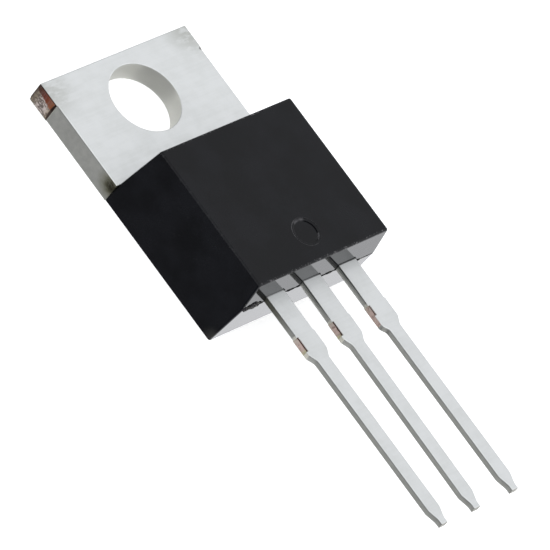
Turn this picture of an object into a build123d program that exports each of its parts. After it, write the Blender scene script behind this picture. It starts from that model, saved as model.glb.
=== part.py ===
from build123d import *
from math import atan2, cos, radians, sin, tan
import os

# A dual rectifier diode in a plastic power package: two diode chips share one copper
# tab as their common cathode, and each has its anode on a lead of its own.
# Millimetres. The origin is the mounting hole's centre on the metal back.
# +Y runs to the tab's free end, -Y along the leads, +Z out of the plastic front.

# Tab: the part of the copper that stays outside the plastic
tab_width = 10.05
tab_thick = 1.28
hole_dia = 3.93
hole_to_tab_end = 2.69
hole_to_body = 3.61         # to the plastic's upper end, on the tab's front
tie_stub_length = 1.38      # sheared tie bars, from the tab's end down both sides
tie_stub_depth = 0.30       # how far the sheared block reaches into the tab
tie_stub_proud = 0.04
tab_edge_radius = 0.06      # rolled by the punch, on the front

# Header: the part of the copper inside the plastic, bare on the back
header_width = 8.6          # over the locking lip, next to the front
header_length = 6.29
header_pad_width = 7.8      # bare pad on the back
header_lip_thick = 0.66
header_corner = 0.6
groove_width = 0.5          # V groove across the front, which keys the plastic
groove_depth = 0.2
groove_inset = 0.75         # from the plastic's upper end

# Leads
lead_pitch = 2.54
lead_seat = 2.737           # metal back to the leads' back
lead_thick = 0.35
lead_wide = 1.20
lead_narrow = 0.80
lead_length = 13.80         # from the plastic to the tip
dam_start = 2.32            # plastic to the cut dam bar
dam_length = 1.15
dam_proud = 0.05            # what the cut leaves on each side, at the back
dam_ramp = 0.12
dam_notch = 0.09            # how far the leaning cut bites into each left side, at the front
dam_notch_length = 0.84
late_notch_length = 0.60    # the right lead's left side, where the cut sits lower
late_shoulder = 0.20
late_narrow = 0.06
shoulder_length = 0.45
shoulder_radius = 0.32
tip_taper = 0.88            # tip to where the taper starts
tip_straight = 0.30
tip_width = 0.42
tip_radius = 0.35
centre_lead_lean = 0.80     # degrees, centre lead bent at the plastic, to the left

# Inner ends of the leads
lead_zone = 2.507           # header's end to the plastic's lead end
post_width = 2.3
post_corner = 0.25
post_gap = 0.35             # header's end to the bonding posts, seen from the front
post_neck = 0.55            # bonding post to the plastic's lead end
lock_hole_dia = 0.55        # hole through each neck, filled by the plastic
lock_hole_inset = 0.14      # the hole reaches this far from the neck into the post
joggle_start = 0.25         # header's end to the centre lead's first bend
joggle_angle = 58
joggle_radius = 0.42        # on the strip's middle

# Chips and their solder
chip_side = 2.8
chip_thick = 0.28
chip_to_header_end = 2.1    # chip's centre to the header's end
solder_thick = 0.06
solder_margin = 0.15        # solder past the chip's edge at its foot
solder_slope = 60           # degrees from upright

# Bond wires
wire_dia = 0.38
wire_spacing = 1.1
wire_foot_length = 0.9
wire_foot_width = 0.52
wire_foot_height = 0.24
wire_lift = 0.03            # left under the round wire where it runs into its foot
wire_turn = 60              # degrees between the wire's rise and its descent
wire_bend_radius = 1.0

# Moulded body
body_back_width = 9.95
front_cover = 1.543         # leads' front to the plastic's front
side_draft = 4.75
tab_end_draft = 8.2
front_end_draft = 4.6       # lead end, from the leads' back to the front
back_end_draft = 4.6        # lead end, from the leads' back down
body_edge_radius = 0.12
flash_proud = 0.04          # thin flash along the mould's parting line
flash_thick = 0.05
gate_scar_x = -4.0          # middle of the scar where the plastic flowed in
gate_scar_width = 1.2
gate_scar_proud = 0.10
mark_dia = 1.32             # ejector pin's mark on the front
mark_depth = 0.09
mark_ring_dia = 1.58        # the shallow step round it
mark_ring_depth = 0.03
mark_x = 0.06               # the pin stands a little right of the middle
mark_to_lead_end = 1.73

# Places that follow from the sizes
header_end = -hole_to_body - header_length
body_end = header_end - lead_zone
lead_front = lead_seat + lead_thick
lead_middle = lead_seat + lead_thick / 2
body_height = lead_front + front_cover
chip_x = header_width / 4
chip_y = header_end + chip_to_header_end
chip_base = tab_thick + solder_thick
chip_front = chip_base + chip_thick
post_start = header_end - post_gap
post_end = body_end + post_neck
post_y = (post_start + post_end) / 2


def closed_outline(points, radii):
    # A face from corner points, each rounded by its own radius (0 leaves it sharp).
    face = make_face(Polyline(*points, close=True))
    for point, radius in zip(points, radii):
        if radius > 0:
            corner = face.vertices().sort_by_distance(Vector(*point, 0))[0]
            face = fillet(corner, radius)
    return face


def leaned(point, pivot, lean):
    # The point turned about the pivot, as a bent lead's end is.
    turned = Vector(*pivot) + (Vector(*point) - Vector(*pivot)).rotate(Axis.Z, lean)
    return turned.X, turned.Y


def blade_side(late):
    # One side of a lead, from the dam bar to the tip: half width, distance from the plastic.
    shoulder = dam_start + dam_length + (late_shoulder if late else 0)
    narrowed = dam_start + dam_length + shoulder_length + (late_narrow if late else 0)
    wide, narrow, tip = lead_wide / 2, lead_narrow / 2, tip_width / 2
    dam = wide + dam_proud
    side = [(wide, dam_start), (dam, dam_start + dam_ramp), (dam, shoulder), (narrow, narrowed)]
    return side + [(narrow, lead_length - tip_taper), (tip, lead_length - tip_straight), (tip, lead_length)]


def dam_bite(length):
    # Taken off the front of a lead's left side by a dam-bar cut, which leans outward toward the back.
    start = Plane(origin=(0, -dam_start - dam_ramp, lead_seat), x_dir=(1, 0, 0), z_dir=(0, -1, 0))
    leaning = dam_notch + dam_proud
    outside = -(lead_wide / 2 + dam_proud + leaning)
    inside = -(lead_wide / 2 - dam_notch - leaning)
    above = 2 * lead_thick
    section = Polyline((outside, -lead_thick), (outside, above), (inside, above), close=True)
    return extrude(start * make_face(section), length)


def lead_blade(lean=0, late=False):
    # A lead outside the plastic, as the dam-bar and tip cutters leave it.
    inner = [(lead_wide / 2, body_end + post_neck), (lead_wide / 2, body_end)]
    radii = [0, 0, 0, 0, shoulder_radius, shoulder_radius, tip_radius, tip_radius, 0]
    root = (0, body_end)
    right = inner + [leaned((x, body_end - away), root, lean) for x, away in blade_side(False)]
    left = [(-x, y) for x, y in inner]
    left += [leaned((-x, body_end - away), root, lean) for x, away in blade_side(late)]
    plan = closed_outline(right + left[::-1], radii + radii[::-1])
    bite = dam_bite(late_notch_length if late else dam_notch_length)
    return Pos(0, 0, lead_seat) * extrude(plan, lead_thick) - Pos(0, body_end) * Rot(0, 0, lean) * bite


def anode_lead(x):
    # A side lead: the blade outside, and inside a wider post for the bond wires.
    post = Pos(0, post_y) * RectangleRounded(post_width, post_start - post_end, post_corner)
    lead = lead_blade(late=x > 0) + Pos(0, 0, lead_seat) * extrude(post, lead_thick)
    lock_y = post_end + lock_hole_inset - lock_hole_dia / 2
    lock = Pos(0, lock_y, lead_middle) * Cylinder(lock_hole_dia / 2, 2 * lead_thick)
    return Pos(x, 0, 0) * (lead - lock)


def joggle():
    # The centre lead's inner stretch: off the header's front, up to the leads' level.
    low = tab_thick - lead_thick / 2    # the strip's middle where it leaves the header
    bend_y = header_end - joggle_start
    top_y = bend_y - (lead_middle - low) / tan(radians(joggle_angle))
    path = FilletPolyline(
        (0, header_end + header_corner, low),
        (0, bend_y, low),
        (0, top_y, lead_middle),
        (0, body_end, lead_middle),
        radius=joggle_radius,
    )
    start = Plane(origin=path @ 0, x_dir=(1, 0, 0), z_dir=path % 0)
    return sweep(start * Rectangle(lead_wide, lead_thick), path)


def header_plate(width, end, thick):
    # A plate from the plastic's upper end down to y = end, its two lower corners rounded.
    length = -hole_to_body - end
    plan = Rectangle(width, length)
    plan = fillet(plan.vertices().group_by(Axis.Y)[0], header_corner)
    return Pos(0, end + length / 2, 0) * extrude(plan, thick)


def header():
    # The chips' seat: a lip next to the front, over a smaller bare pad on the back.
    step = (header_width - header_pad_width) / 2
    pad_thick = tab_thick - header_lip_thick
    lip = Pos(0, 0, pad_thick) * header_plate(header_width, header_end, header_lip_thick)
    pad = header_plate(header_pad_width, header_end + step, pad_thick)
    groove_y = -hole_to_body - groove_inset
    profile = [
        (groove_y - groove_width / 2, tab_thick),
        (groove_y + groove_width / 2, tab_thick),
        (groove_y, tab_thick - groove_depth),
    ]
    groove = extrude(Plane.YZ * make_face(Polyline(*profile, close=True)), header_width, both=True)
    return lip + pad - groove


def tab():
    # The bare plate with its mounting hole, and what the tie bars left on its sides.
    length = hole_to_tab_end + hole_to_body
    middle_y = (hole_to_tab_end - hole_to_body) / 2
    plate = Pos(0, middle_y, 0) * extrude(Rectangle(tab_width, length), tab_thick)
    front_edges = plate.faces().sort_by(Axis.Z)[-1].edges()
    plate = fillet(front_edges.sort_by(Axis.Y)[1:], tab_edge_radius)
    plate -= Pos(0, 0, tab_thick / 2) * Cylinder(hole_dia / 2, 2 * tab_thick)
    stub = extrude(Rectangle(tie_stub_depth, tie_stub_length), tab_thick)
    stub_x = tab_width / 2 + tie_stub_proud - tie_stub_depth / 2
    stub_y = hole_to_tab_end - tie_stub_length / 2
    return plate + [Pos(x, stub_y, 0) * stub for x in (-stub_x, stub_x)]


def cathode_frame():
    # Tab, header and centre lead are one piece of copper strip of two thicknesses.
    return tab() + header() + joggle() + lead_blade(-centre_lead_lean)


def diode_chip(x):
    return Pos(x, chip_y, chip_base + chip_thick / 2) * Box(chip_side, chip_side, chip_thick)


def chip_solder(x):
    # A thin pad that spreads past the chip at its foot.
    foot = Pos(x, chip_y, tab_thick) * Rectangle(*[chip_side + 2 * solder_margin] * 2)
    return extrude(foot, solder_thick, taper=solder_slope)


def wire_foot(x, y, z):
    # The wire's end, squeezed flat by the wedge tool and cut off square.
    return extrude(Pos(x, y, z) * Rectangle(wire_foot_width, wire_foot_length), wire_foot_height)


def bond_wire(side, offset):
    # From the chip's front over in a bend to the post's front, with a flat foot at each end.
    chip_foot = Vector(side * chip_x + offset, chip_y, chip_front)
    post_foot = Vector(side * lead_pitch + offset, post_y, lead_front)
    level = Vector(post_foot.X - chip_foot.X, post_foot.Y - chip_foot.Y, 0)
    slope = atan2(lead_front - chip_front, level.length)
    half_turn = radians(wire_turn) / 2
    steepness = [slope + half_turn, slope - half_turn]
    rises = [wire_dia / 2 * cos(steep) + wire_lift for steep in steepness]
    start = chip_foot + Vector(0, 0, rises[0])
    stop = post_foot + Vector(0, 0, rises[1])
    across = Vector(0, 0, 1).cross(level).normalized()
    slant = (stop - start).length / 2 / cos(half_turn) - wire_bend_radius * tan(half_turn)
    rising, falling = [
        level.normalized() * cos(steep) + Vector(0, 0, sin(steep)) for steep in steepness
    ]
    bend_start = start + rising * slant
    centre = bend_start + across.cross(rising) * wire_bend_radius
    ring = Plane(origin=start, x_dir=across, z_dir=rising) * Circle(wire_dia / 2)
    rise = extrude(ring, slant)
    bend = revolve(Pos(bend_start - start) * ring, Axis(centre, across), wire_turn)
    fall = extrude(Plane(origin=stop, x_dir=across, z_dir=-falling) * Circle(wire_dia / 2), slant)
    return rise + bend + fall + wire_foot(*chip_foot) + wire_foot(*post_foot)


def body_blank():
    # The plastic's outside: the side view, cut by the end view, with soft edges.
    front_y = body_end + (body_height - lead_seat) * tan(radians(front_end_draft))
    back_y = body_end + lead_seat * tan(radians(back_end_draft))
    tab_front_y = -hole_to_body - (body_height - tab_thick) * tan(radians(tab_end_draft))
    side_view = [
        (back_y, 0), (-hole_to_body, 0), (-hole_to_body, tab_thick),
        (tab_front_y, body_height), (front_y, body_height), (body_end, lead_seat),
    ]
    back = body_back_width / 2
    front = back - body_height * tan(radians(side_draft))
    end_view = [(-back, 0), (back, 0), (front, body_height), (-front, body_height)]
    long = extrude(Plane.YZ * make_face(Polyline(*side_view, close=True)), back, both=True)
    reach = 2 * (lead_zone + header_length + hole_to_body)
    wedge = extrude(Plane.XZ * make_face(Polyline(*end_view, close=True)), reach, both=True)
    blank = long & wedge
    front_edges = blank.faces().sort_by(Axis.Z)[-1].edges()
    upright_edges = [edge for edge in blank.edges() if abs((edge % 0.5).Z) > cos(radians(45))]
    outer_edges = [edge for edge in upright_edges if edge.center().Z > tab_thick]
    return fillet(front_edges + outer_edges, body_edge_radius)


def parting_flash():
    # A fin along the parting line, which lies level with the leads' back.
    width = body_back_width - 2 * (lead_seat * tan(radians(side_draft)) + body_edge_radius)
    return Pos(0, body_end, lead_seat) * Box(width, 2 * flash_proud, flash_thick)


def gate_scar():
    # The stub left where the gate was broken off, beside the left lead and as thick as it.
    stub = Box(gate_scar_width, 2 * gate_scar_proud, lead_thick)
    return Pos(gate_scar_x, body_end, lead_middle) * stub


def ejector_mark():
    mark_y = body_end + mark_to_lead_end
    pin = Cylinder(mark_dia / 2, 2 * mark_depth)
    ring = Cylinder(mark_ring_dia / 2, 2 * mark_ring_depth)
    return Pos(mark_x, mark_y, body_height) * (pin + ring)


def moulded_body(held):
    # The plastic, with the room that every piece inside it takes.
    body = body_blank() + parting_flash() + gate_scar() - ejector_mark()
    for piece in held:
        body = body - piece
    return body


def build():
    sides = {"left": -1, "right": 1}
    pieces = {"cathode_frame": cathode_frame()}
    for side, sign in sides.items():
        pieces[f"anode_lead_{side}"] = anode_lead(sign * lead_pitch)
        pieces[f"chip_solder_{side}"] = chip_solder(sign * chip_x)
        pieces[f"diode_chip_{side}"] = diode_chip(sign * chip_x)
        for place, shift in {"outer": sign, "inner": -sign}.items():
            pieces[f"bond_wire_{side}_{place}"] = bond_wire(sign, shift * wire_spacing / 2)
    pieces["moulded_body"] = moulded_body(list(pieces.values()))
    return pieces


os.makedirs("parts", exist_ok=True)
for node, piece in build().items():
    export_step(piece, f"parts/{node}.step")
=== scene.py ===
import bpy
import bmesh
from math import asin, degrees, pi, radians, tan
from mathutils import Matrix, Vector, noise


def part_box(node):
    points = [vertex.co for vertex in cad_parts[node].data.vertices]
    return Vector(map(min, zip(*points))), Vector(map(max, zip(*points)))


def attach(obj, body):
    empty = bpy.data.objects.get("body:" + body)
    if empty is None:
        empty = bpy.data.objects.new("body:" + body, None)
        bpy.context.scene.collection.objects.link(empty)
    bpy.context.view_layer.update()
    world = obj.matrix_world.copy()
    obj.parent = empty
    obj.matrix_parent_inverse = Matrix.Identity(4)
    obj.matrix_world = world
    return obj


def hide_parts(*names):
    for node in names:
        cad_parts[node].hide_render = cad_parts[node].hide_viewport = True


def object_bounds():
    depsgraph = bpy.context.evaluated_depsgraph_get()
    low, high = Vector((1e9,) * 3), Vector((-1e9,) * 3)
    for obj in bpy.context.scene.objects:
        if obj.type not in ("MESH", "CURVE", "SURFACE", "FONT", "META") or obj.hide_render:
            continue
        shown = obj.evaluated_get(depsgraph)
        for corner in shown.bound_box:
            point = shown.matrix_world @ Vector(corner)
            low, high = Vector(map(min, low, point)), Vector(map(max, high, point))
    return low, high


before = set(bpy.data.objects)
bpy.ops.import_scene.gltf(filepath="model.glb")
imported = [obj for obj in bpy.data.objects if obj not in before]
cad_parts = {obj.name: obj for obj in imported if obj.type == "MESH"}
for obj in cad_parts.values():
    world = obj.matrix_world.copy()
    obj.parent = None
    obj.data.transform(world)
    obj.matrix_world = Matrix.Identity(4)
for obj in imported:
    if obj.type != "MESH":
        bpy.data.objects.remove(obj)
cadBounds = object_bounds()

mm = 0.001
scene = bpy.context.scene
caseLow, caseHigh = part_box("moulded_body")
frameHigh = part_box("cathode_frame")[1]
leadLow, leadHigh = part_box("anode_lead_left")
tabTop = 1.28 * mm  # the tab's front; the frame's highest point is the centre lead
partLevel = leadLow[2]  # the mould parts level with the leads' back
black = (0.0, 0.0, 0.0, 1)

# Camera

cameraSettings = {
    "place": (-254.89 * mm, -98.48 * mm, 264.80 * mm),
    "right": (0.6741, -0.5781, 0.4597),
    "up": (0.2975, 0.7822, 0.5475),
    "lens": 514.65,
    "sensor": 36.0,
    "clip": (0.01, 20),
}


def addCamera(settings):
    camera = bpy.data.objects.new("studioCamera", bpy.data.cameras.new("studioCamera"))
    scene.collection.objects.link(camera)
    camera.data.lens = settings["lens"]
    camera.data.sensor_width = settings["sensor"]
    camera.data.clip_start, camera.data.clip_end = settings["clip"]
    right = Vector(settings["right"]).normalized()
    back = right.cross(Vector(settings["up"])).normalized()
    up = back.cross(right)
    turn = Matrix((right, up, back)).transposed().to_4x4()
    camera.matrix_world = Matrix.Translation(settings["place"]) @ turn
    scene.camera = camera


addCamera(cameraSettings)
scene.view_settings.view_transform = "Standard"
print("camera placed")

# Small helpers for node trees: each value is a plain one or a socket to link


def add(tree, kind, inputs=None, **settings):
    made = tree.nodes.new(kind)
    for name, value in settings.items():
        setattr(made, name, value)
    for name, value in (inputs or {}).items():
        if isinstance(value, bpy.types.NodeSocket):
            tree.links.new(value, made.inputs[name])
        else:
            made.inputs[name].default_value = value
    return made


def calc(tree, operation, first, second=0.0):
    return add(tree, "ShaderNodeMath", {0: first, 1: second}, operation=operation).outputs[0]


def plus(tree, first, second):
    return calc(tree, "ADD", first, second)


def minus(tree, first, second):
    return calc(tree, "SUBTRACT", first, second)


def times(tree, first, *others):
    for other in others:
        first = calc(tree, "MULTIPLY", first, other)
    return first


def most(tree, first, *others):
    for other in others:
        first = calc(tree, "MAXIMUM", first, other)
    return first


def between(tree, share, first, second):
    # From the first value to the second as the share goes from 0 to 1
    return plus(tree, times(tree, first, minus(tree, 1.0, share)), times(tree, share, second))


def spread(tree, value, low, high, outLow=0.0, outHigh=1.0, curve="SMOOTHSTEP"):
    inputs = {"Value": value, "From Min": low, "From Max": high, "To Min": outLow, "To Max": outHigh}
    return add(tree, "ShaderNodeMapRange", inputs, interpolation_type=curve).outputs[0]


def fade(tree, value, low, high):
    # 1 up to low, falling to 0 at high
    return spread(tree, value, low, high, 1.0, 0.0)


def blend(tree, factor, first, second):
    return add(tree, "ShaderNodeMix", {0: factor, 6: first, 7: second}, data_type="RGBA").outputs[2]


def vectorCalc(tree, operation, first, second=(0.0, 0.0, 0.0), output="Vector"):
    made = add(tree, "ShaderNodeVectorMath", {0: first, 1: second}, operation=operation)
    return made.outputs[output]


def layered(tree, color, layers):
    # layers: share and tone of each, from the lowest up
    for share, tone in layers:
        color = blend(tree, share, color, tone)
    return color


def dot(tree, first, second):
    return vectorCalc(tree, "DOT_PRODUCT", first, second, "Value")


def scaled(tree, vector, factor):
    inputs = {0: vector, "Scale": factor}
    return add(tree, "ShaderNodeVectorMath", inputs, operation="SCALE").outputs[0]


def split(tree, vector):
    return tuple(add(tree, "ShaderNodeSeparateXYZ", {0: vector}).outputs)


def stretched(tree, vector, scale):
    return add(tree, "ShaderNodeMapping", {"Vector": vector, "Scale": scale}).outputs[0]


def near(tree, vector, point, low, high):
    # 1 inside low metres of the point, fading to 0 at high
    return fade(tree, vectorCalc(tree, "DISTANCE", vector, point, "Value"), low, high)


def grain(tree, vector, scale, detail=3.0, rough=0.5):
    inputs = {"Vector": vector, "Scale": scale, "Detail": detail, "Roughness": rough}
    return add(tree, "ShaderNodeTexNoise", inputs).outputs[0]


def ramp(tree, value, stops):
    made = add(tree, "ShaderNodeValToRGB", {"Fac": value})
    elements = made.color_ramp.elements
    while len(elements) < len(stops):
        elements.new(0.5)
    for element, (place, color) in zip(elements, stops):
        element.position = place
        element.color = color
    return made.outputs[0]


def emptyTree(block):
    block.use_nodes = True
    block.node_tree.nodes.clear()
    return block.node_tree


def startMaterial(name):
    material = bpy.data.materials.new(name)
    tree = emptyTree(material)
    coords = add(tree, "ShaderNodeTexCoord").outputs["Object"]
    shader = add(tree, "ShaderNodeBsdfPrincipled")
    add(tree, "ShaderNodeOutputMaterial", {"Surface": shader.outputs[0]})
    return material, tree, coords, shader


def feed(tree, shader, sockets):
    for name, socket in sockets.items():
        tree.links.new(socket, shader.inputs[name])


def addRelief(tree, shader, layers):
    # layers: height socket, strength, distance in metres, from the coarsest down
    normal = None
    for height, strength, distance in layers:
        inputs = {"Height": height, "Strength": strength, "Distance": distance}
        if normal is not None:
            inputs["Normal"] = normal
        normal = add(tree, "ShaderNodeBump", inputs).outputs[0]
    tree.links.new(normal, shader.inputs["Normal"])


def showPiece(name, mesh):
    piece = bpy.data.objects.new(name, mesh)
    scene.collection.objects.link(piece)
    return piece


# Studio: a bright room, darker low on the left, and a white table

studioSettings = {
    "tint": (0.985, 0.995, 1.02, 1),
    "overhead": (0.60, 1.30),  # brightness at the back and toward the front
    "towardFront": (0.35, -0.93, 0.0),
    "frontSpan": (-0.4, 0.5),
    "upperLeft": 1.15,
    "towardUpperLeft": (-0.66, 0.22, 0.72),
    "upperLeftSpan": (0.55, 0.95),
    "lowRight": 1.85,
    "towardLowRight": (0.78, -0.62, 0.0),
    "lowRightSpan": (-0.3, 0.8),
    "lowLeft": (0.48, 0.05),  # at the floor and at the horizon
    "lowLeftSpan": (-0.95, -0.2),
    "lowFrontShare": 0.3,
    "lowFrontSpan": (-0.45, 0.10),
    "horizonSpan": (-0.15, 0.15),
}
tableSettings = {
    "glow": 0.55,
    "paper": ((0.88, 0.88, 0.88, 1), (0.92, 0.92, 0.92, 1)),
    "paperGrain": 40.0,
    "half": 3.0,
    "below": 0.01 * mm,
}
cardSettings = {  # dim glowing card under the hole, seen only in the hole's wall: a painted reflection of the floor below, with a painted dark spot for its shade
    "glow": (0.77, 0.10),  # outside the dark spot and in it
    "spot": (0.95 * mm, 0.42 * mm, 0.0),
    "spotReach": (0.30 * mm, 1.30 * mm),
    "radius": 1.93 * mm,
    "below": 0.005 * mm,
}


def lightRoom(settings):
    world = bpy.data.worlds.new("softStudio")
    scene.world = world
    tree = emptyTree(world)
    toward = add(tree, "ShaderNodeTexCoord").outputs["Generated"]
    x, y, z = split(tree, toward)
    lowLeft = spread(tree, z, *settings["lowLeftSpan"], *settings["lowLeft"], "LINEAR")
    lowFront = spread(tree, y, *settings["lowFrontSpan"], settings["lowFrontShare"], 1.0)
    onRight = spread(tree, dot(tree, toward, settings["towardLowRight"]), *settings["lowRightSpan"])
    low = between(tree, onRight, times(tree, lowLeft, lowFront), settings["lowRight"])
    inFront = dot(tree, toward, settings["towardFront"])
    above = spread(tree, inFront, *settings["frontSpan"], *settings["overhead"])
    onLeft = spread(tree, dot(tree, toward, settings["towardUpperLeft"]), *settings["upperLeftSpan"])
    high = between(tree, onLeft, above, settings["upperLeft"])
    room = between(tree, spread(tree, z, *settings["horizonSpan"]), low, high)
    background = add(tree, "ShaderNodeBackground", {"Strength": room, "Color": settings["tint"]})
    add(tree, "ShaderNodeOutputWorld", {"Surface": background.outputs[0]})


def layTable(settings):
    material, tree, coords, shader = startMaterial("whiteTable")
    shader.inputs["Roughness"].default_value = 1.0
    shader.inputs["Specular IOR Level"].default_value = 0.0
    shader.inputs["Emission Color"].default_value = (1.0, 1.0, 1.0, 1.0)
    shader.inputs["Emission Strength"].default_value = settings["glow"]
    paper = grain(tree, coords, settings["paperGrain"])
    feed(tree, shader, {"Base Color": blend(tree, paper, *settings["paper"])})
    half = settings["half"]
    corners = [(-half, -half, 0), (half, -half, 0), (half, half, 0), (-half, half, 0)]
    mesh = bpy.data.meshes.new("whiteTable")
    mesh.from_pydata(corners, [], [(0, 1, 2, 3)])
    mesh.materials.append(material)
    table = showPiece("whiteTable", mesh)
    table.location.z = cadBounds[0][2] - settings["below"]
    table.visible_glossy = False


def layHoleCard(settings):
    material = bpy.data.materials.new("holeCard")
    tree = emptyTree(material)
    coords = add(tree, "ShaderNodeTexCoord").outputs["Object"]
    spot = near(tree, coords, settings["spot"], *settings["spotReach"])
    glow = spread(tree, spot, 0.0, 1.0, *settings["glow"], "LINEAR")
    emission = add(tree, "ShaderNodeEmission", {"Strength": glow})
    add(tree, "ShaderNodeOutputMaterial", {"Surface": emission.outputs[0]})
    disc = bmesh.new()
    bmesh.ops.create_circle(disc, cap_ends=True, segments=48, radius=settings["radius"])
    mesh = bpy.data.meshes.new("holeCard")
    disc.to_mesh(mesh)
    disc.free()
    mesh.materials.append(material)
    card = showPiece("holeCard", mesh)
    card.location.z = cadBounds[0][2] - settings["below"]
    card.visible_camera = False
    card.visible_diffuse = False
    card.visible_shadow = False


lightRoom(studioSettings)
layTable(tableSettings)
layHoleCard(cardSettings)
print("studio ready")

# Tin plating, on the whole leadframe

tinSettings = {
    "bright": (0.80, 0.815, 0.81, 1),
    "dull": (0.755, 0.77, 0.76, 1),
    "rough": (0.44, 0.54),
    "streaks": (260.0, 5200.0, 5200.0),  # the strip was rolled along X
    "mottle": (1000.0, 2800.0, 2800.0),
    "cornerShade": (0.55, 0.56, 0.53, 1),  # painted shade at two corners of the tab's front
    "cornerShadeSpots": [((5.0 * mm, 2.4 * mm, tabTop), 1.0), ((-4.95 * mm, 2.1 * mm, tabTop), 0.75)],
    "cornerShadeReach": (0.2 * mm, 2.0 * mm),
    # painted shade in a small notch at the tab's right edge
    "notchShade": (4.97 * mm, 1.26 * mm, tabTop),
    "notchShadeReach": (0.03 * mm, 0.12 * mm),
    "notchShadeShare": 0.85,
    # The hole's wall
    "boreShare": 0.8,
    "boreRough": 0.74,
    "boreShadeSide": (0.93, 0.37, 0.0),  # the side of the hole's wall given painted shade, most at the top
    "boreSpan": (0.76, 0.97),
    "boreShade": (0.10, 0.32),
    # The punched walls, with a band of painted shade under the front edge
    "wallTint": (0.82, 0.82, 0.775, 1),
    "wallDull": (0.73, 0.735, 0.69, 1),
    "bandSpan": (0.055, 0.10),
    "bandShade": 0.30,
    # The leads
    "leadLevel": (2.5 * mm, 2.6 * mm),
    "leadShade": (0.07, 0.0),  # away from the plastic and at it
    "leadShadeSpan": (-13.6 * mm, -12.4 * mm),
    "leftLead": (-1.8 * mm, -1.2 * mm),
    "nextToCase": (-14.8 * mm, -13.4 * mm),
    "edgeShade": (0.02, 0.022, 0.02, 1),  # painted shade under the rolled edge, next to the plastic
    "edgeShadeShare": (0.75, 0.25),  # the left lead has less of it
    # painted shade where the leads meet the plastic
    "creviceShade": (0.01, 0.012, 0.01, 1),
    "creviceShadeSpan": (-12.44 * mm, -12.405 * mm),
    "creviceShadeAcross": (-2.0 * mm, 1.5 * mm, 0.35, 0.8),
    "tarnishAndShade": (0.34, 0.335, 0.275, 1),  # tarnish, and painted shade from the plastic's end, on the left lead's sides
    "tarnishAndShadeSpan": (-14.9 * mm, -12.7 * mm),
    "matteWall": (0.14, 0.34, 0.0, 0.4),
    "bareMetal": (0.50, 0.49, 0.43, 1),  # grey metal beside the dam bar's copper
    "bareStart": (-15.93 * mm, -15.87 * mm),
    "bareEnd": (-14.74 * mm, -14.68 * mm),
    "bareDull": 0.8,
    "cutTip": (0.21, 0.205, 0.175, 1),
    "tipDepth": (0.008 * mm, 0.02 * mm),
    # Stains, and painted shade on the right lead's shoulder
    "stain": (0.34, 0.33, 0.22, 1),
    # dark colour of the stain's core, also used for painted shade in the notch and on the right lead's
    # shoulder
    "darkStainAndShade": (0.045, 0.04, 0.025, 1),
    "stainPlace": (-5.02 * mm, -3.42 * mm, 0.92 * mm),
    "stainReach": (0.05 * mm, 0.62 * mm),
    "smearReach": (0.15 * mm, 1.10 * mm),
    "shoulderShade": (2.03 * mm, -16.27 * mm, 2.79 * mm),  # painted shade on the right lead's shoulder
    "shoulderShadeReach": (0.16 * mm, 0.34 * mm),
    "shoulderShadeShare": 0.42,
}


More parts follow.
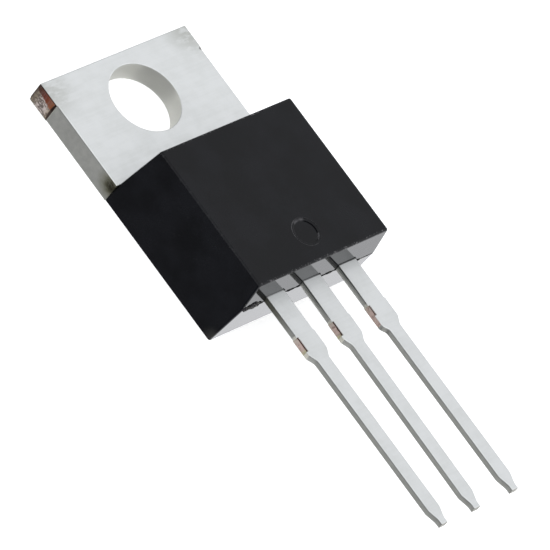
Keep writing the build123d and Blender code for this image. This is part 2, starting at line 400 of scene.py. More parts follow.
def satinTin(settings):
    material, tree, coords, shader = startMaterial("satinTin")
    x, y, z = split(tree, coords)
    below = add(tree, "ShaderNodeAttribute", attribute_name="belowFront").outputs["Fac"]
    wall = spread(tree, below, 0.02, 0.05)
    bore = times(tree, fade(tree, below, -0.05, -0.02), settings["boreShare"])
    isLead = spread(tree, z, *settings["leadLevel"])
    onLeft = fade(tree, x, *settings["leftLead"])
    nextToCase = times(tree, isLead, spread(tree, y, *settings["nextToCase"]))
    cloud = grain(tree, coords, 900.0, 4.0, 0.6)
    streak = grain(tree, stretched(tree, coords, settings["streaks"]), 1.0, 3.0, 0.6)
    crystal = grain(tree, coords, 30000.0, 2.0, 0.6)
    mottle = grain(tree, stretched(tree, coords, settings["mottle"]), 1.0, 4.0, 0.65)

    # Plated fronts, with painted shade at two corners and in a notch
    dull = plus(tree, times(tree, cloud, 0.6), times(tree, streak, 0.4))
    plated = blend(tree, spread(tree, dull, 0.38, 0.66), settings["bright"], settings["dull"])
    # Painted shade at two corners of the tab's front
    cornerShade = []
    for corner, share in settings["cornerShadeSpots"]:
        patchy = spread(tree, mottle, 0.35, 0.55, 0.3 * share, share)
        toned = times(tree, near(tree, coords, corner, *settings["cornerShadeReach"]), patchy)
        cornerShade.append((toned, settings["cornerShade"]))
    notchShade = near(tree, coords, settings["notchShade"], *settings["notchShadeReach"])
    shade = spread(tree, y, *settings["leadShadeSpan"], *settings["leadShade"])

    # The hole's wall, with painted shade on one side, and the punched walls
    outward = vectorCalc(tree, "NORMALIZE", stretched(tree, coords, (1.0, 1.0, 0.0)))
    shadedSide = spread(tree, dot(tree, outward, settings["boreShadeSide"]), *settings["boreSpan"])
    toTop = spread(tree, below, -0.9, -0.1, *settings["boreShade"])
    wallTone = blend(tree, spread(tree, mottle, 0.3, 0.7), settings["wallTint"], settings["wallDull"])
    # Painted shade in a band under the front edge
    band = times(tree, wall, fade(tree, below, *settings["bandSpan"]))

    # Leads next to the plastic: painted shade under the rolled edge, in the crevice and on the left lead's
    # side
    # Painted shade under the rolled edge, next to the plastic
    line = times(tree, spread(tree, below, 0.001, 0.008), fade(tree, below, 0.05, 0.09), nextToCase)
    line = times(tree, line, spread(tree, onLeft, 0.0, 1.0, *settings["edgeShadeShare"]))
    # Painted shade in the crevice where the leads meet the plastic
    creviceShade = times(tree, isLead, spread(tree, y, *settings["creviceShadeSpan"]))
    creviceShade = times(tree, creviceShade, spread(tree, x, *settings["creviceShadeAcross"]))
    # Tarnish, and painted shade from the plastic's end, on the left lead's side
    tarnishAndShade = times(tree, wall, spread(tree, y, *settings["tarnishAndShadeSpan"]), isLead, onLeft)
    patchy = spread(tree, grain(tree, coords, 5200.0, 3.0, 0.7), 0.25, 0.6, 0.7, 1.0)
    matte = times(tree, wall, nextToCase, spread(tree, below, *settings["matteWall"]))
    matte = times(tree, matte, minus(tree, 1.0, onLeft))

    # Stains, painted shade on the right lead's shoulder, and cut ends
    blot = grain(tree, coords, 3600.0, 3.0, 0.65)
    smear = times(tree, wall, near(tree, coords, settings["stainPlace"], *settings["smearReach"]))
    core = times(tree, wall, near(tree, coords, settings["stainPlace"], *settings["stainReach"]))
    bare = times(tree, spread(tree, y, *settings["bareStart"]), fade(tree, y, *settings["bareEnd"]),
                 isLead, wall)
    shoulderShade = times(tree, wall, near(tree, coords, settings["shoulderShade"], *settings["shoulderShadeReach"]))
    tip = fade(tree, y, *[leadLow[1] + depth for depth in settings["tipDepth"]])

    color = layered(tree, plated, cornerShade + [
        (times(tree, notchShade, settings["notchShadeShare"]), settings["darkStainAndShade"]),
        (times(tree, isLead, shade), black),
        (bore, settings["wallTint"]),
        (times(tree, bore, shadedSide, toTop), black),
        (wall, wallTone),
        (times(tree, band, settings["bandShade"]), black),
        (line, settings["edgeShade"]),
        (creviceShade, settings["creviceShade"]),
        (times(tree, tarnishAndShade, patchy), settings["tarnishAndShade"]),
        (times(tree, smear, spread(tree, blot, 0.2, 0.6, 0.6, 1.0)), settings["stain"]),
        (times(tree, core, spread(tree, blot, 0.3, 0.6, 0.6, 1.0)), settings["darkStainAndShade"]),
        (bare, settings["bareMetal"]),
        (times(tree, shoulderShade, settings["shoulderShadeShare"]), settings["darkStainAndShade"]),
        (tip, settings["cutTip"]),
    ])
    rough = spread(tree, cloud, 0.3, 0.7, *settings["rough"])
    rough = spread(tree, bore, 0.0, settings["boreShare"], rough, settings["boreRough"], "LINEAR")
    dullMetal = most(tree, matte, times(tree, most(tree, bare, tip), settings["bareDull"]))
    metallic = minus(tree, 1.0, dullMetal)
    feed(tree, shader, {"Base Color": color, "Roughness": rough, "Metallic": metallic})
    addRelief(tree, shader, [(streak, 0.25, 0.004 * mm), (crystal, 0.22, 0.002 * mm)])
    return material


# Bare copper, where the tie bars and dam bars were cut through the plating

tieSettings = {  # the tie stubs at the tab's end
    "burnishDepth": (0.47, 0.27),  # share of the thickness cut clean before it tore, at either end
    "burnish": [(0.0, (0.50, 0.20, 0.09, 1)), (0.2, (0.46, 0.155, 0.07, 1)), (0.55, (0.29, 0.065, 0.04, 1)),
                (0.85, (0.14, 0.055, 0.032, 1)), (1.0, (0.08, 0.045, 0.03, 1))],
    "torn": (0.47, 0.41, 0.385, 1),
    "tornEnd": (0.36, 0.29, 0.21, 1),
    "tornFar": (0.19, 0.155, 0.11, 1),
    "tornDark": (0.15, 0.12, 0.085, 1),
    "crack": (0.085, 0.062, 0.052, 1),
    "crackSpan": (0.36, 0.48),
    "line": (0.04, 0.022, 0.016, 1),  # painted shade round the cut
    "endLine": (0.04, 0.10),
    "farLine": (0.93, 0.99),
    "bow": 0.05,
    "lip": (0.024, 0.06),
}
damSettings = {  # where the dam bar was cut from the leads
    "burnishDepth": (0.23, 0.17),
    "burnish": [(0.0, (0.075, 0.04, 0.033, 1)), (0.5, (0.085, 0.036, 0.03, 1)),
                (1.0, (0.10, 0.045, 0.037, 1))],
    "torn": (0.44, 0.335, 0.30, 1),
    "tornEnd": (0.40, 0.38, 0.24, 1),
    "tornFar": (0.40, 0.34, 0.30, 1),
    "tornDark": (0.30, 0.225, 0.19, 1),
    "crack": (0.20, 0.13, 0.12, 1),
    "crackSpan": (0.54, 0.66),
    # painted shade under the front edge's burr
    "line": (0.035, 0.018, 0.015, 1),
    "endLine": (-0.2, -0.1),  # no line at either end
    "farLine": (1.5, 1.6),
    "bow": 0.0,
    "lip": (0.052, 0.13),
}
copperPattern = {  # shared by both
    "drawn": (9000.0, 16000.0, 1500.0),
    "vein": (4000.0, 3300.0, 5200.0),
    "waver": 0.16,  # how far the torn edge strays, as a share of the thickness
    "rough": (0.36, 0.6),  # clean-cut and torn
    "metallic": (0.9, 0.15),
}


def shearedCopper(name, settings):
    # A clean-cut band next to the front, torn metal below it
    material, tree, coords, shader = startMaterial(name)
    along, depth = split(tree, add(tree, "ShaderNodeUVMap", uv_map="shear").outputs[0])[:2]
    wander = grain(tree, coords, 5000.0, 3.0, 0.6)
    blotch = grain(tree, coords, 7000.0, 4.0, 0.7)
    drawn = grain(tree, stretched(tree, coords, copperPattern["drawn"]), 1.0, 3.0, 0.6)
    vein = grain(tree, stretched(tree, coords, copperPattern["vein"]), 1.0, 2.0, 0.5)

    waver = copperPattern["waver"]
    edge = plus(tree, depth, spread(tree, wander, 0.0, 1.0, -waver, waver, "LINEAR"))
    cleanDepth = spread(tree, along, 0.0, 1.0, *settings["burnishDepth"], "LINEAR")
    torn = spread(tree, minus(tree, edge, cleanDepth), -0.04, 0.04)
    clean = ramp(tree, along, settings["burnish"])
    clean = blend(tree, spread(tree, drawn, 0.35, 0.7, 0.0, 0.3), clean, settings["torn"])

    far = spread(tree, plus(tree, along, times(tree, wander, 0.3)), 0.72, 1.0)
    crack = spread(tree, calc(tree, "ABSOLUTE", minus(tree, vein, 0.5)), 0.02, 0.12, 0.9, 0.0)
    crack = times(tree, crack, spread(tree, wander, *settings["crackSpan"]))
    rent = layered(tree, settings["torn"], [
        (fade(tree, along, 0.08, 0.3), settings["tornEnd"]),
        (far, settings["tornFar"]),
        (spread(tree, blotch, 0.48, 0.68), settings["tornDark"]),
        (crack, settings["crack"]),
    ])

    # A dark line round the cut: painted shade under the front edge's burr and at the cut's ends
    bow = times(tree, calc(tree, "SINE", times(tree, depth, pi)), settings["bow"])
    atEnd = fade(tree, minus(tree, along, bow), *settings["endLine"])
    atFar = times(tree, spread(tree, along, *settings["farLine"]), 0.85)
    line = most(tree, fade(tree, depth, *settings["lip"]), atEnd, atFar)
    color = layered(tree, clean, [(torn, rent), (line, settings["line"])])
    rough = spread(tree, torn, 0.0, 1.0, *copperPattern["rough"])
    metallic = spread(tree, torn, 0.0, 1.0, *copperPattern["metallic"])
    feed(tree, shader, {"Base Color": color, "Roughness": rough, "Metallic": metallic})
    addRelief(tree, shader, [(blotch, 0.5, 0.02 * mm), (drawn, 0.35, 0.006 * mm)])
    return material


# Moulded plastic, and the same plastic where it was broken

epoxySettings = {
    "deep": (0.0014, 0.0016, 0.0026, 1),
    "grey": (0.0034, 0.0038, 0.0056, 1),
    "filler": (0.02, 0.02, 0.021, 1),  # grains of filler in the skin
    "toned": (0.105, 0.10, 0.105, 1),  # along the rounded edges: wear, and painted highlight
    "ior": 1.3,
    "rough": (0.19, 0.28),
    "edgeSpeckRough": 0.2,  # added on the rounded edges' specks
    "endRough": 0.09,  # the leads' end is the glossiest
    "endSpan": (-12.20 * mm, -12.15 * mm),
    "dust": (0.030, 0.030, 0.028, 1),
    "dustPlace": (-4.97 * mm, -12.38 * mm, 0.10 * mm),
    "dustReach": (0.15 * mm, 0.9 * mm),
    "highlightTone": (0.075, 0.073, 0.078, 1),  # painted highlight round the ejector pin's mark
    "markMiddle": (0.06 * mm, -10.677 * mm),
    "markLevel": (4.4 * mm, 4.5 * mm),
    "markWidth": (0.74 * mm, 0.3 * mm),
    # Radius and half width of each painted highlight arc, the side it is on, how far round it goes, how light
    # it is
    "markArcs": [
        (0.795 * mm, 0.034 * mm, (-0.80, 0.60, 0.0), (0.60, 0.85), 1.0),
        (0.795 * mm, 0.034 * mm, (-0.985, -0.174, 0.0), (-0.5, 0.1), 0.5),
        (0.795 * mm, 0.034 * mm, (1.0, 0.0, 0.0), (-3.0, -2.0), 0.25),
        (0.670 * mm, 0.055 * mm, (0.0, 1.0, 0.0), (0.84, 0.94), 0.9),
        (0.730 * mm, 0.100 * mm, (0.0, 1.0, 0.0), (0.84, 0.94), 0.7),
        (0.665 * mm, 0.060 * mm, (0.74, -0.67, 0.0), (0.93, 0.98), 1.0),
    ],
}
brokenSettings = {
    "deep": (0.003, 0.003, 0.0035, 1),
    "grey": (0.03, 0.026, 0.032, 1),
    "pale": (0.26, 0.26, 0.22, 1),
    "ior": 1.3,
    "rough": (0.7, 0.9),
}


def markHighlight(tree, coords, settings):
    # How much painted highlight each place round the ejector pin's mark gets
    x, y, z = split(tree, coords)
    middleX, middleY = settings["markMiddle"]
    inputs = {"X": minus(tree, x, middleX), "Y": minus(tree, y, middleY)}
    flat = add(tree, "ShaderNodeCombineXYZ", inputs).outputs[0]
    radius = vectorCalc(tree, "LENGTH", flat, output="Value")
    toward = vectorCalc(tree, "NORMALIZE", flat)

    def band(middle, half):
        return fade(tree, calc(tree, "ABSOLUTE", minus(tree, radius, middle)), 0.3 * half, half)

    arcs = [times(tree, band(middle, half), spread(tree, dot(tree, toward, side), *span), share)
            for middle, half, side, span, share in settings["markArcs"]]
    patchy = spread(tree, grain(tree, coords, 5200.0, 3.0, 0.6), 0.3, 0.55, 0.35, 1.0)
    onMark = times(tree, band(*settings["markWidth"]), spread(tree, z, *settings["markLevel"]))
    return times(tree, most(tree, *arcs), onMark, patchy)


def mouldedEpoxy(settings):
    material, tree, coords, shader = startMaterial("mouldedEpoxy")
    shader.inputs["IOR"].default_value = settings["ior"]
    cloud = grain(tree, coords, 500.0, 3.0, 0.55)
    swell = grain(tree, coords, 1500.0, 3.0, 0.5)
    spark = grain(tree, coords, 26000.0, 2.0, 0.6)
    filler = spread(tree, grain(tree, coords, 15000.0, 1.0, 0.4), 0.68, 0.78, 0.0, 0.3)
    plain = blend(tree, spread(tree, cloud, 0.35, 0.65), settings["deep"], settings["grey"])
    rounded = add(tree, "ShaderNodeAttribute", attribute_name="rounded").outputs["Fac"]
    # Specks on the rounded edges: wear, and painted highlight where the edges catch light
    edgeWearAndHighlight = times(tree, rounded, spread(tree, grain(tree, coords, 5600.0, 4.0, 0.75), 0.52, 0.66))
    dusty = near(tree, coords, settings["dustPlace"], *settings["dustReach"])
    dusty = times(tree, dusty, spread(tree, cloud, 0.3, 0.6, 0.5, 1.0))
    color = layered(tree, plain, [
        (filler, settings["filler"]),
        (edgeWearAndHighlight, settings["toned"]),
        (markHighlight(tree, coords, settings), settings["highlightTone"]),
        (dusty, settings["dust"]),
    ])

    onEnd = fade(tree, split(tree, coords)[1], *settings["endSpan"])
    rough = spread(tree, cloud, 0.3, 0.7, *settings["rough"])
    rough = spread(tree, onEnd, 0.0, 1.0, rough, settings["endRough"], "LINEAR")
    rough = plus(tree, rough, times(tree, edgeWearAndHighlight, settings["edgeSpeckRough"]))
    feed(tree, shader, {"Base Color": color, "Roughness": rough})
    addRelief(tree, shader, [(swell, 0.06, 0.01 * mm), (spark, 0.12, 0.003 * mm)])
    return material


def brokenEpoxy(settings):
    # Where the plastic was torn off: at the gate and in the thin flash
    material, tree, coords, shader = startMaterial("brokenEpoxy")
    shader.inputs["IOR"].default_value = settings["ior"]
    crumb = grain(tree, coords, 9000.0, 4.0, 0.7)
    speck = grain(tree, coords, 13000.0, 2.0, 0.6)
    color = blend(tree, spread(tree, crumb, 0.46, 0.58), settings["deep"], settings["grey"])
    color = blend(tree, spread(tree, speck, 0.60, 0.68), color, settings["pale"])
    rough = spread(tree, crumb, 0.3, 0.7, *settings["rough"])
    feed(tree, shader, {"Base Color": color, "Roughness": rough})
    addRelief(tree, shader, [(crumb, 0.5, 0.015 * mm)])
    return material


# The pieces closed in the plastic, by what their names hold: the first that fits is used

innerSettings = {
    "solder": {"name": "softSolder", "tones": ((0.52, 0.53, 0.55, 1), (0.40, 0.41, 0.43, 1)),
               "metallic": 1.0, "rough": (0.28, 0.43), "scale": 2500.0},
    "chip": {"name": "sawnSilicon", "tones": ((0.05, 0.055, 0.07, 1), (0.09, 0.095, 0.11, 1)),
             "metallic": 0.0, "rough": (0.18, 0.33), "scale": 5000.0},
    "wire": {"name": "drawnAluminium", "tones": ((0.86, 0.87, 0.88, 1), (0.76, 0.77, 0.79, 1)),
             "metallic": 1.0, "rough": (0.25, 0.40), "scale": 4000.0},
}


def innerFinish(settings):
    material, tree, coords, shader = startMaterial(settings["name"])
    shader.inputs["Metallic"].default_value = settings["metallic"]
    cloud = grain(tree, coords, settings["scale"], 4.0, 0.6)
    color = blend(tree, spread(tree, cloud, 0.35, 0.65), *settings["tones"])
    rough = spread(tree, cloud, 0.3, 0.7, *settings["rough"])
    feed(tree, shader, {"Base Color": color, "Roughness": rough})
    addRelief(tree, shader, [(cloud, 0.2, 0.005 * mm)])
    return material


tin = satinTin(tinSettings)
tieCopper = shearedCopper("tornTieCopper", tieSettings)
damCopper = shearedCopper("cutDamCopper", damSettings)
epoxy = mouldedEpoxy(epoxySettings)
brokenPlastic = brokenEpoxy(brokenSettings)
innerFinishes = {key: innerFinish(settings) for key, settings in innerSettings.items()}
print("finishes ready")

# Punched metal: the frame and the two outer leads

wholeMap = (0.0, 1.0, 0.0, 1.0)  # along the cut from and to, down it from and to

metalSettings = {
    "roll": 0.035 * mm,  # front edges, drawn down by the punch
    "holeRoll": 0.045 * mm,
    "back": 0.012 * mm,
    "holeReach": 2.1 * mm,
    "tabRim": (1.2 * mm, 2.2 * mm),  # rolled above this Y and beyond this radius
    "backRim": -3.5 * mm,
    "tabEnd": -3.9 * mm,
    "bareLead": -11.9 * mm,  # the leads are bare of plastic below this
    "stubSide": 0.005 * mm,
    "tieTear": (28, 0.022 * mm),  # cells across the cut, and how deep it is torn
    "damTear": (10, 0.014 * mm),
    "cornerLoss": 0.07 * mm,  # torn off the stub's back edge
    "lateLean": 0.06 * mm,
    "tieSeed": 4.0,
    "frameDamSeed": 7.0,
    # Node, seed, then which share of the copper's map the dam cut and the late cut take
    "leads": [
        ("anode_lead_left", 11.0, wholeMap, None),
        ("anode_lead_right", 18.0, (0.3, 1.0, 0.04, 1.0), (0.35, 0.5, 0.55, 1.0)),
    ],
}
cutSettings = {  # how the cuts on the leads are told from their other walls
    "leastArea": 0.1 * mm * mm,
    "lean": 0.928,  # the left lead's dam cut leans this much to the left
    "leanSlack": 0.02,
    "damSpan": (-15.6 * mm, -14.9 * mm),
    "lateSpan": (-16 * mm, -15.6 * mm),
}
tearSettings = {  # shares of the way down a cut and along it, and sizes of its roughness
    "tornFrom": 0.36,
    "tornOver": 0.1,
    "lump": 0.11 * mm,
    "drawnAcross": 0.05 * mm,
    "drawnDown": 0.9 * mm,
    "cornerDown": (0.8, 0.2),
    "cornerAlong": (0.6, 0.4),
}
mergeReach = 0.0005 * mm
flatAngle = 0.6
sharpAngle = 35
levelSlack = 0.01 * mm


def mergedCopy(nodeName):
    shape = bmesh.new()
    shape.from_mesh(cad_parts[nodeName].data)
    bmesh.ops.remove_doubles(shape, verts=shape.verts[:], dist=mergeReach)
    bmesh.ops.dissolve_limit(shape, angle_limit=radians(flatAngle),
                             verts=shape.verts[:], edges=shape.edges[:])
    return shape


def settle(shape, name, materials):
    # A plain mesh with flat faces left flat and the rolled edges smooth
    mesh = bpy.data.meshes.new(name)
    shape.to_mesh(mesh)
    shape.free()
    for layer in ("custom_normal", "sharp_face", "sharp_edge"):
        if layer in mesh.attributes:
            mesh.attributes.remove(mesh.attributes[layer])
    for material in materials:
        mesh.materials.append(material)
    mesh.shade_smooth()
    mesh.set_sharp_from_angle(angle=radians(sharpAngle))
    for face in mesh.polygons:
        if abs(face.normal.z) > 0.9999:
            face.use_smooth = False
    piece = showPiece(name, mesh)
    piece.modifiers.new("flats", "WEIGHTED_NORMAL").keep_sharp = True
    return piece


def roll(shape, edges, radius, steps=3):
    if edges:
        bmesh.ops.bevel(shape, geom=edges, offset=radius, offset_type="OFFSET", segments=steps,
                        profile=0.5, affect="EDGES", clamp_overlap=False, material=-1)


def rimEdges(shape, up, level, outside):
    # Square edges round the faces that look up or down at one level
    found = []
    for edge in shape.edges:
        if len(edge.link_faces) != 2 or not edge.is_convex:
            continue
        if not any(outside(vert.co) for vert in edge.verts):
            continue
        flat = [face for face in edge.link_faces if face.normal.z * up > 0.999]
        wall = [face for face in edge.link_faces if abs(face.normal.z) < 0.45 and len(face.verts) > 3]
        if flat and wall and all(abs(vert.co.z - level) < levelSlack for vert in edge.verts):
            found.append(edge)
    return found


def gridOver(shape, face, cells):
    # Cuts the face into a grid and gives its cells
    slack = 1e-7
    outward = face.normal.copy()
    ys = [vert.co.y for vert in face.verts]
    zs = [vert.co.z for vert in face.verts]
    made = bmesh.ops.subdivide_edges(shape, edges=face.edges[:], cuts=cells, use_grid_fill=True)
    patch = set()
    for item in made["geom_inner"]:
        if isinstance(item, bmesh.types.BMVert):
            patch.update(one for one in item.link_faces if one.normal.dot(outward) > 0.99)

    def onFace(co):
        return min(zs) - slack < co.z < max(zs) + slack and min(ys) - slack < co.y < max(ys) + slack

    patch = [one for one in patch if all(onFace(vert.co) for vert in one.verts)]
    spots = {}  # each corner's share of the way along the cut and down it
    for vert in set(vert for one in patch for vert in one.verts):
        spots[vert] = ((vert.co.y - min(ys)) / (max(ys) - min(ys)),
                       (max(zs) - vert.co.z) / (max(zs) - min(zs)))
    return outward, patch, spots


def tear(shape, isCut, slot, cells, depth, seed, cornerLoss=0.0, mapped=wholeMap):
    # A sheared end: smooth next to the front, torn below, with a UV map across the cut
    cutUv = shape.loops.layers.uv.get("shear") or shape.loops.layers.uv.new("shear")
    fromAlong, toAlong, fromDepth, toDepth = mapped
    cornerDown, downSpan = tearSettings["cornerDown"]
    cornerAlong, alongSpan = tearSettings["cornerAlong"]
    for face in [face for face in shape.faces if isCut(face)]:
        outward, patch, spots = gridOver(shape, face, cells)
        for one in patch:
            one.material_index = slot
            for loop in one.loops:
                along, below = spots[loop.vert]
                loop[cutUv].uv = (fromAlong + along * (toAlong - fromAlong),
                                  fromDepth + below * (toDepth - fromDepth))
        for vert, (along, below) in spots.items():
            rent = min(1.0, max(0.0, (below - tearSettings["tornFrom"]) / tearSettings["tornOver"]))
            spot = vert.co / tearSettings["lump"] + Vector((seed, seed, seed))
            rough = 0.5 + 0.5 * noise.fractal(spot, 0.8, 2.0, 3)
            across = vert.co.y / tearSettings["drawnAcross"]
            spot = Vector((seed, across, vert.co.z / tearSettings["drawnDown"]))
            drawn = 0.5 + 0.5 * noise.noise(spot)
            inside = min(1.0, 12 * min(along, 1 - along, below))  # 0 on the outline, but not at the back
            toBack = max(0.0, (below - cornerDown) / downSpan)
            toEnd = max(0.0, (along - cornerAlong) / alongSpan)
            lost = cornerLoss * toBack ** 2 * (0.35 + 0.65 * toEnd) * (0.4 + rough)
            vert.co -= outward * (inside * depth * (rent * (0.25 + rough) + (1 - rent) * 0.3 * drawn) + lost)
            if along > 0.999:
                vert.co.y -= 0.5 * lost
    shape.normal_update()


def markDepths(shape, tops):
    # Millimetres below the front edge on the punched walls, as minus for the hole's wall
    layer = shape.verts.layers.float.new("belowFront")
    for vert in shape.verts:
        top, sign = tops(vert.co)
        vert[layer] = sign * max(0.0, (top - vert.co.z) / mm)


def isDamCut(face):
    # Where the dam bar was cut from a lead: leaning on the left, square on the right
    low, high = cutSettings["damSpan"]
    leaning = abs(face.normal.x + cutSettings["lean"]) < cutSettings["leanSlack"] and face.normal.z > 0.3
    square = face.normal.x > 0.99 and face.calc_area() > cutSettings["leastArea"]
    return (leaning or square) and low < face.calc_center_median().y < high


def isLateCut(face):
    # Below the dam cut on the right lead, where the punch ran on
    low, high = cutSettings["lateSpan"]
    large = face.calc_area() > cutSettings["leastArea"]
    return face.normal.x < -0.95 and large and low < face.calc_center_median().y < high


def isBareLead(co):
    return co.y < metalSettings["bareLead"]


def finishFrame(settings):
    shape = mergedCopy("cathode_frame")
    leadTop = frameHigh[2]
    tabFrom, tabBeyond = settings["tabRim"]
    stubSide = frameHigh[0] - settings["stubSide"]

    def isHole(co):
        return co.xy.length < settings["holeReach"]

    def isTab(co):
        return co.y > tabFrom and co.xy.length > tabBeyond

    def isStubEnd(face):
        return abs(face.calc_center_median().x) > stubSide and abs(face.normal.x) > 0.99

    def top(co):
        if co.y > settings["tabEnd"]:
            return tabTop, (1.0 if co.xy.length > settings["holeReach"] else -1.0)
        return (leadTop if isBareLead(co) else 0.0), 1.0

    roll(shape, rimEdges(shape, 1, tabTop, isHole), settings["holeRoll"], 4)
    roll(shape, rimEdges(shape, 1, tabTop, isTab), settings["roll"])
    roll(shape, rimEdges(shape, 1, leadTop, isBareLead), settings["roll"])
    roll(shape, rimEdges(shape, -1, 0.0, lambda co: co.y > settings["backRim"]), settings["back"], 2)
    roll(shape, rimEdges(shape, -1, partLevel, isBareLead), settings["back"], 2)
    tear(shape, isStubEnd, 1, *settings["tieTear"], settings["tieSeed"], settings["cornerLoss"])
    tear(shape, isDamCut, 2, *settings["damTear"], settings["frameDamSeed"])
    markDepths(shape, top)
    return settle(shape, "tinnedFrame", (tin, tieCopper, damCopper))


def finishLead(settings, nodeName, seed, damMap, lateMap):
    low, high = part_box(nodeName)
    shape = mergedCopy(nodeName)
    roll(shape, rimEdges(shape, 1, high[2], isBareLead), settings["roll"])
    roll(shape, rimEdges(shape, -1, low[2], isBareLead), settings["back"], 2)
    if lateMap:
        for vert in set(vert for face in shape.faces if isLateCut(face) for vert in face.verts):
            if vert.co.z > high[2] - levelSlack:
                vert.co.x += settings["lateLean"]
    tear(shape, isDamCut, 2, *settings["damTear"], seed, mapped=damMap)
    if lateMap:
        tear(shape, isLateCut, 2, *settings["damTear"], seed + 1, mapped=lateMap)
    markDepths(shape, lambda co: (high[2], 1.0))
    return settle(shape, nodeName.replace("anode_lead", "tinnedLead"), (tin, tieCopper, damCopper))


tinnedFrame = finishFrame(metalSettings)
leads = [finishLead(metalSettings, *lead) for lead in metalSettings["leads"]]
print("metal finished:", len(tinnedFrame.data.polygons), [len(lead.data.polygons) for lead in leads])

# Plastic case

caseSettings = {
    "scarProud": 0.10 * mm,
    "endDraft": 4.6,
    # Each step of the ejector pin's mark: its floor below the front, its wall's height, its rim's radius
    "markSteps": [(0.09 * mm, 0.06 * mm, 0.03 * mm), (0.03 * mm, 0.03 * mm, 0.028 * mm)],
    "markReach": 1.0 * mm,
    "stripProud": 0.02 * mm,  # what stands out further than this at the leads' end is a strip
    "endZone": 0.2 * mm,
    "endMerge": 0.002 * mm,
    "roundedTilt": (9.0, 88.0),  # faces between these tilts are the rounded edges
    "roundedLevel": 4.3 * mm,
    "plainSide": -4.3 * mm,  # the left side gets less wear and painted highlight, except next to the tab
    "plainShare": 0.1,
    "fullShareEnd": 1.0 * mm,
}
caseEnd = caseLow[1] + caseSettings["scarProud"]


def endPlane(z):
    # The leads' end of the case leans in above and below the parting line
    return caseEnd + abs(z - partLevel) * tan(radians(caseSettings["endDraft"]))


def roundMark(shape, level, rise, radius):
    floors = [face for face in shape.faces if face.normal.z > 0.999
              and abs(caseHigh[2] - level - face.calc_center_median().z) < 0.008 * mm]
    outline = [vert.co.copy() for vert in max(floors, key=lambda face: face.calc_area()).verts]
    middle = sum(outline, Vector()) / len(outline)
    reach = max((co - middle).length for co in outline) + 0.02 * mm
    top = middle.z + rise

    def onRim(co):
        return (co - middle).xy.length < reach and abs(co.z - top) < 0.006 * mm

    rim = [edge for edge in shape.edges if edge.is_convex and edge.calc_face_angle(0) > radians(50)
           and all(onRim(vert.co) for vert in edge.verts)]
    roll(shape, rim, radius)
    print("mark rim edges:", len(rim), "reach mm", round(reach / mm, 3))


def markRounded(shape, settings):
    # How much wear and painted highlight each face of the rounded edges gets
    tiltLow, tiltHigh = settings["roundedTilt"]
    layer = shape.faces.layers.float.new("rounded")
    for face in shape.faces:
        center = face.calc_center_median()
        tilt = degrees(asin(max(-1.0, min(1.0, face.normal.z))))
        toned = 0.0
        if tiltLow < tilt < tiltHigh and center.z > settings["roundedLevel"]:
            plain = center.x < settings["plainSide"] and center.y < caseHigh[1] - settings["fullShareEnd"]
            toned = settings["plainShare"] if plain else 1.0
            if (center.xy - Vector(epoxySettings["markMiddle"])).length < settings["markReach"]:
                toned = 0.0
        face[layer] = toned


def finishCase(settings):
    shape = mergedCopy("moulded_body")
    for vert in shape.verts:  # the grown flash and scar take the place of the plain strips
        plane = endPlane(vert.co.z)
        if vert.co.y < plane - settings["stripProud"]:
            vert.co.y = plane
    atEnd = [vert for vert in shape.verts if vert.co.y < caseEnd + settings["endZone"]]
    bmesh.ops.remove_doubles(shape, verts=atEnd, dist=settings["endMerge"])
    for step in settings["markSteps"]:
        roundMark(shape, *step)
    shape.normal_update()
    markRounded(shape, settings)
    return settle(shape, "mouldedCase", (epoxy,))


mouldedCase = finishCase(caseSettings)
print("case finished:", len(mouldedCase.data.polygons))

# Shapes grown by node trees, each then made a plain mesh


def startTree(name, inputs):
    group = bpy.data.node_groups.new(name, "GeometryNodeTree")
    sockets = group.interface
    sockets.new_socket("Geometry", in_out="INPUT", socket_type="NodeSocketGeometry")
    for label, value in inputs.items():
        kind = "NodeSocketVector" if isinstance(value, tuple) else "NodeSocketFloat"
        sockets.new_socket(label, in_out="INPUT", socket_type=kind).default_value = value
    sockets.new_socket("Geometry", in_out="OUTPUT", socket_type="NodeSocketGeometry")
    return group, add(group, "NodeGroupInput").outputs


def endTree(group, mesh, material):
    real = add(group, "GeometryNodeRealizeInstances", {0: mesh})
    finish = add(group, "GeometryNodeSetMaterial", {"Geometry": real.outputs[0], "Material": material})
    add(group, "NodeGroupOutput", {0: finish.outputs[0]})


def seededNoise(group, vector, seed, scale, detail):
    inputs = {"Vector": vector, "W": seed, "Scale": scale, "Detail": detail}
    return add(group, "ShaderNodeTexNoise", inputs, noise_dimensions="4D").outputs


def growPiece(name, mesh, group, inputs, thick=None):
    base = showPiece(name + "Base", mesh)
    modifier = base.modifiers.new("grow", "NODES")
    modifier.node_group = group
    for item in group.interface.items_tree:
        if item.in_out == "INPUT" and item.name in inputs:
            modifier[item.identifier] = inputs[item.name]
    if thick:
        wall = base.modifiers.new("wall", "SOLIDIFY")
        wall.thickness = thick
        wall.offset = 0.0
    graph = bpy.context.evaluated_depsgraph_get()
    grown = bpy.data.meshes.new_from_object(base.evaluated_get(graph), depsgraph=graph)
    base.modifiers.clear()
    bpy.data.objects.remove(base)
    grown.name = name
    return showPiece(name, grown)


# Thin ragged plastic: strips along the parting line, and a sliver up each lead's right side

leadMiddles = (-2.54 * mm, 0.0, 2.54 * mm)
leftMiddle, centreMiddle, rightMiddle = leadMiddles
halfWide = 0.60 * mm  # half a lead's width

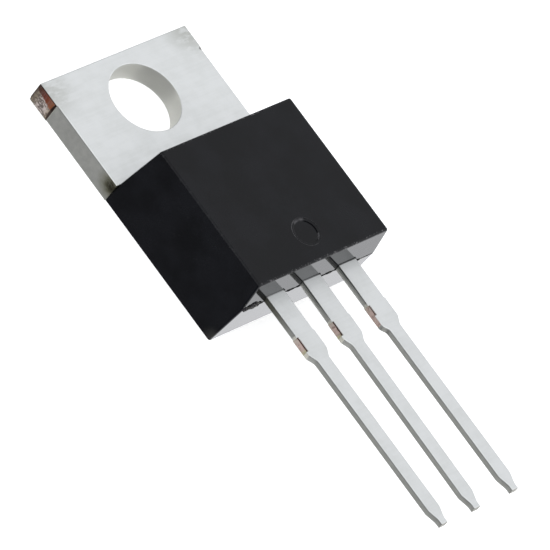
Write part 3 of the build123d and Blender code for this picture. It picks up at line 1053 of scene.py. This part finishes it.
flashSettings = {
    "thick": 0.03 * mm,
    "inset": 0.01 * mm,
    "inputs": {"Cell": 0.04 * mm, "Reach": 0.06 * mm, "Evenness": 0.45, "Noise Scale": 5200.0,
               "Wander": 0.018 * mm, "Seed": 2.0, "Direction": (0.0, -1.0, 0.0)},
    # X and the share of the reach there, for each strip between the leads
    "strips": [
        [(-3.7 * mm, 0.7), (leftMiddle - halfWide, 1.0)],
        [(leftMiddle + halfWide, 1.0), (centreMiddle - halfWide, 0.9)],
        [(centreMiddle + halfWide, 0.8), (rightMiddle - halfWide, 1.0)],
        [(rightMiddle + halfWide, 1.0), (3.9 * mm, 0.7), (4.62 * mm, 0.35)],
    ],
}
sliverSettings = {
    "thick": 0.04 * mm,
    "inputs": {"Cell": 0.03 * mm, "Reach": 0.10 * mm, "Evenness": 0.5, "Noise Scale": 7000.0,
               "Wander": 0.012 * mm, "Seed": 5.0, "Direction": (0.0, -1.0, 0.0)},
    # Clear of the lead, inside the end face, level, share of the reach: at the sliver's foot and top
    "ends": [(0.025 * mm, 0.01 * mm, partLevel, 0.9), (0.02 * mm, 0.02 * mm, leadHigh[2] + 0.015 * mm, 0.7)],
}


def finTree(inputs, material):
    group, source = startTree("raggedFin", inputs)
    path = add(group, "GeometryNodeMeshToCurve", {"Mesh": source["Geometry"]})
    cells = {"Curve": path.outputs[0], "Length": source["Cell"]}
    even = add(group, "GeometryNodeResampleCurve", cells, mode="LENGTH")
    edges = add(group, "GeometryNodeCurveToMesh", {"Curve": even.outputs[0]})
    place = add(group, "GeometryNodeInputPosition").outputs[0]
    shift = seededNoise(group, place, source["Seed"], source["Noise Scale"], 2.0)
    centred = vectorCalc(group, "SUBTRACT", shift["Color"], (0.5, 0.5, 0.5))
    wander = scaled(group, centred, source["Wander"])
    moved = add(group, "GeometryNodeSetPosition", {"Geometry": edges.outputs[0], "Offset": wander})
    height = spread(group, shift[0], 0.38, 0.62, source["Evenness"], 1.0, "LINEAR")
    share = add(group, "GeometryNodeInputNamedAttribute", {"Name": "share"}, data_type="FLOAT").outputs[0]
    offset = scaled(group, source["Direction"], times(group, height, source["Reach"], share))
    push = {"Mesh": moved.outputs[0], "Offset": offset, "Offset Scale": 1.0}
    strip = add(group, "GeometryNodeExtrudeMesh", push, mode="EDGES")
    endTree(group, strip.outputs["Mesh"], material)
    return group


def growFin(name, group, paths, settings):
    # paths: lists of (point, share of the reach there)
    points, shares, edges = [], [], []
    for path in paths:
        start = len(points)
        points += [point for point, share in path]
        shares += [share for point, share in path]
        edges += [(start + step, start + step + 1) for step in range(len(path) - 1)]
    mesh = bpy.data.meshes.new(name + "Base")
    mesh.from_pydata(points, edges, [])
    mesh.attributes.new("share", "FLOAT", "POINT").data.foreach_set("value", shares)
    return growPiece(name, mesh, group, settings["inputs"], settings["thick"])


def flashPaths(settings):
    inset = settings["inset"]
    return [[((x, caseEnd + inset, partLevel + inset), share) for x, share in strip]
            for strip in settings["strips"]]


def sliverPaths(settings):
    return [[((middle + halfWide + clear, caseEnd + inset, level), share)
             for clear, inset, level, share in settings["ends"]] for middle in leadMiddles]


fin = finTree(flashSettings["inputs"], brokenPlastic)
partingFlash = growFin("partingFlash", fin, flashPaths(flashSettings), flashSettings)
leadSlivers = growFin("leadSlivers", fin, sliverPaths(sliverSettings), sliverSettings)
print("flash grown:", len(partingFlash.data.polygons), len(leadSlivers.data.polygons))

# Gate scar: a grid pushed out from the end face where the plastic broke off

scarSettings = {
    "middle": (-4.00 * mm, 2.79 * mm),
    "size": (1.44 * mm, 1.0 * mm),
    "cells": (104, 72),
    "outlineGrain": 3600.0,
    "heightGrain": 9000.0,
    "edge": (0.0, 0.22),
    "height": (0.45, 0.9),  # least height and how much the grain adds, as shares of Proud
    "inputs": {"Proud": 0.085 * mm, "Sink": 0.02 * mm, "Half Width": 0.70 * mm, "Half Height": 0.24 * mm,
               "Tilt": 0.03, "Raggedness": 1.75, "Seed": 3.0},
}


def scarTree(settings, inputs, material):
    group, source = startTree("brokenScar", inputs)
    place = add(group, "GeometryNodeInputPosition").outputs[0]
    x, y, z = split(group, vectorCalc(group, "SUBTRACT", place, source["Middle"]))
    ragged = seededNoise(group, place, source["Seed"], settings["outlineGrain"], 3.0)[0]
    coarse = seededNoise(group, place, source["Seed"], settings["heightGrain"], 3.0)[0]

    wide = calc(group, "DIVIDE", x, source["Half Width"])
    tall = calc(group, "DIVIDE", plus(group, z, times(group, x, source["Tilt"])), source["Half Height"])
    away = calc(group, "SQRT", plus(group, times(group, wide, wide), times(group, tall, tall)))
    uneven = times(group, minus(group, ragged, 0.5), source["Raggedness"])
    mask = spread(group, plus(group, minus(group, 1.0, away), uneven), *settings["edge"])
    least, added = settings["height"]
    height = times(group, plus(group, times(group, coarse, added), least), source["Proud"])
    out = minus(group, times(group, mask, height), source["Sink"])
    offset = add(group, "ShaderNodeCombineXYZ", {"Y": times(group, out, -1.0)}).outputs[0]
    moved = add(group, "GeometryNodeSetPosition", {"Geometry": source["Geometry"], "Offset": offset})
    endTree(group, moved.outputs[0], material)
    return group


def breakScar(settings):
    across, tall = settings["cells"]
    middleX, middleZ = settings["middle"]
    wide, high = settings["size"]
    points, faces = [], []
    for row in range(tall + 1):
        z = middleZ + high * (row / tall - 0.5)
        points += [(middleX + wide * (column / across - 0.5), endPlane(z), z) for column in range(across + 1)]
    for row in range(tall):
        for corner in range(row * (across + 1), row * (across + 1) + across):
            faces.append((corner, corner + 1, corner + across + 2, corner + across + 1))
    mesh = bpy.data.meshes.new("gateScarBase")
    mesh.from_pydata(points, [], faces)
    inputs = {**settings["inputs"], "Middle": (middleX, caseEnd, middleZ)}
    piece = growPiece("gateScar", mesh, scarTree(settings, inputs, brokenPlastic), inputs)
    piece.data.shade_smooth()
    return piece


gateScar = breakScar(scarSettings)
print("gate scar broken:", len(gateScar.data.polygons))

# Hand over: what each piece stands for, what it moves with, and its finish

handOver = [
    (tinnedFrame, ("cathode_frame",)),
    (leads[0], ("anode_lead_left",)),
    (leads[1], ("anode_lead_right",)),
    (mouldedCase, ("moulded_body",)),
    (partingFlash, ()),
    (leadSlivers, ()),
    (gateScar, ()),
]
for piece, nodes in handOver:
    if nodes:
        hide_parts(*nodes)
    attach(piece, "root")

for nodeName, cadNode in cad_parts.items():
    for key, finish in innerFinishes.items():
        if key in nodeName:
            cadNode.data.materials.clear()
            cadNode.data.materials.append(finish)
            break
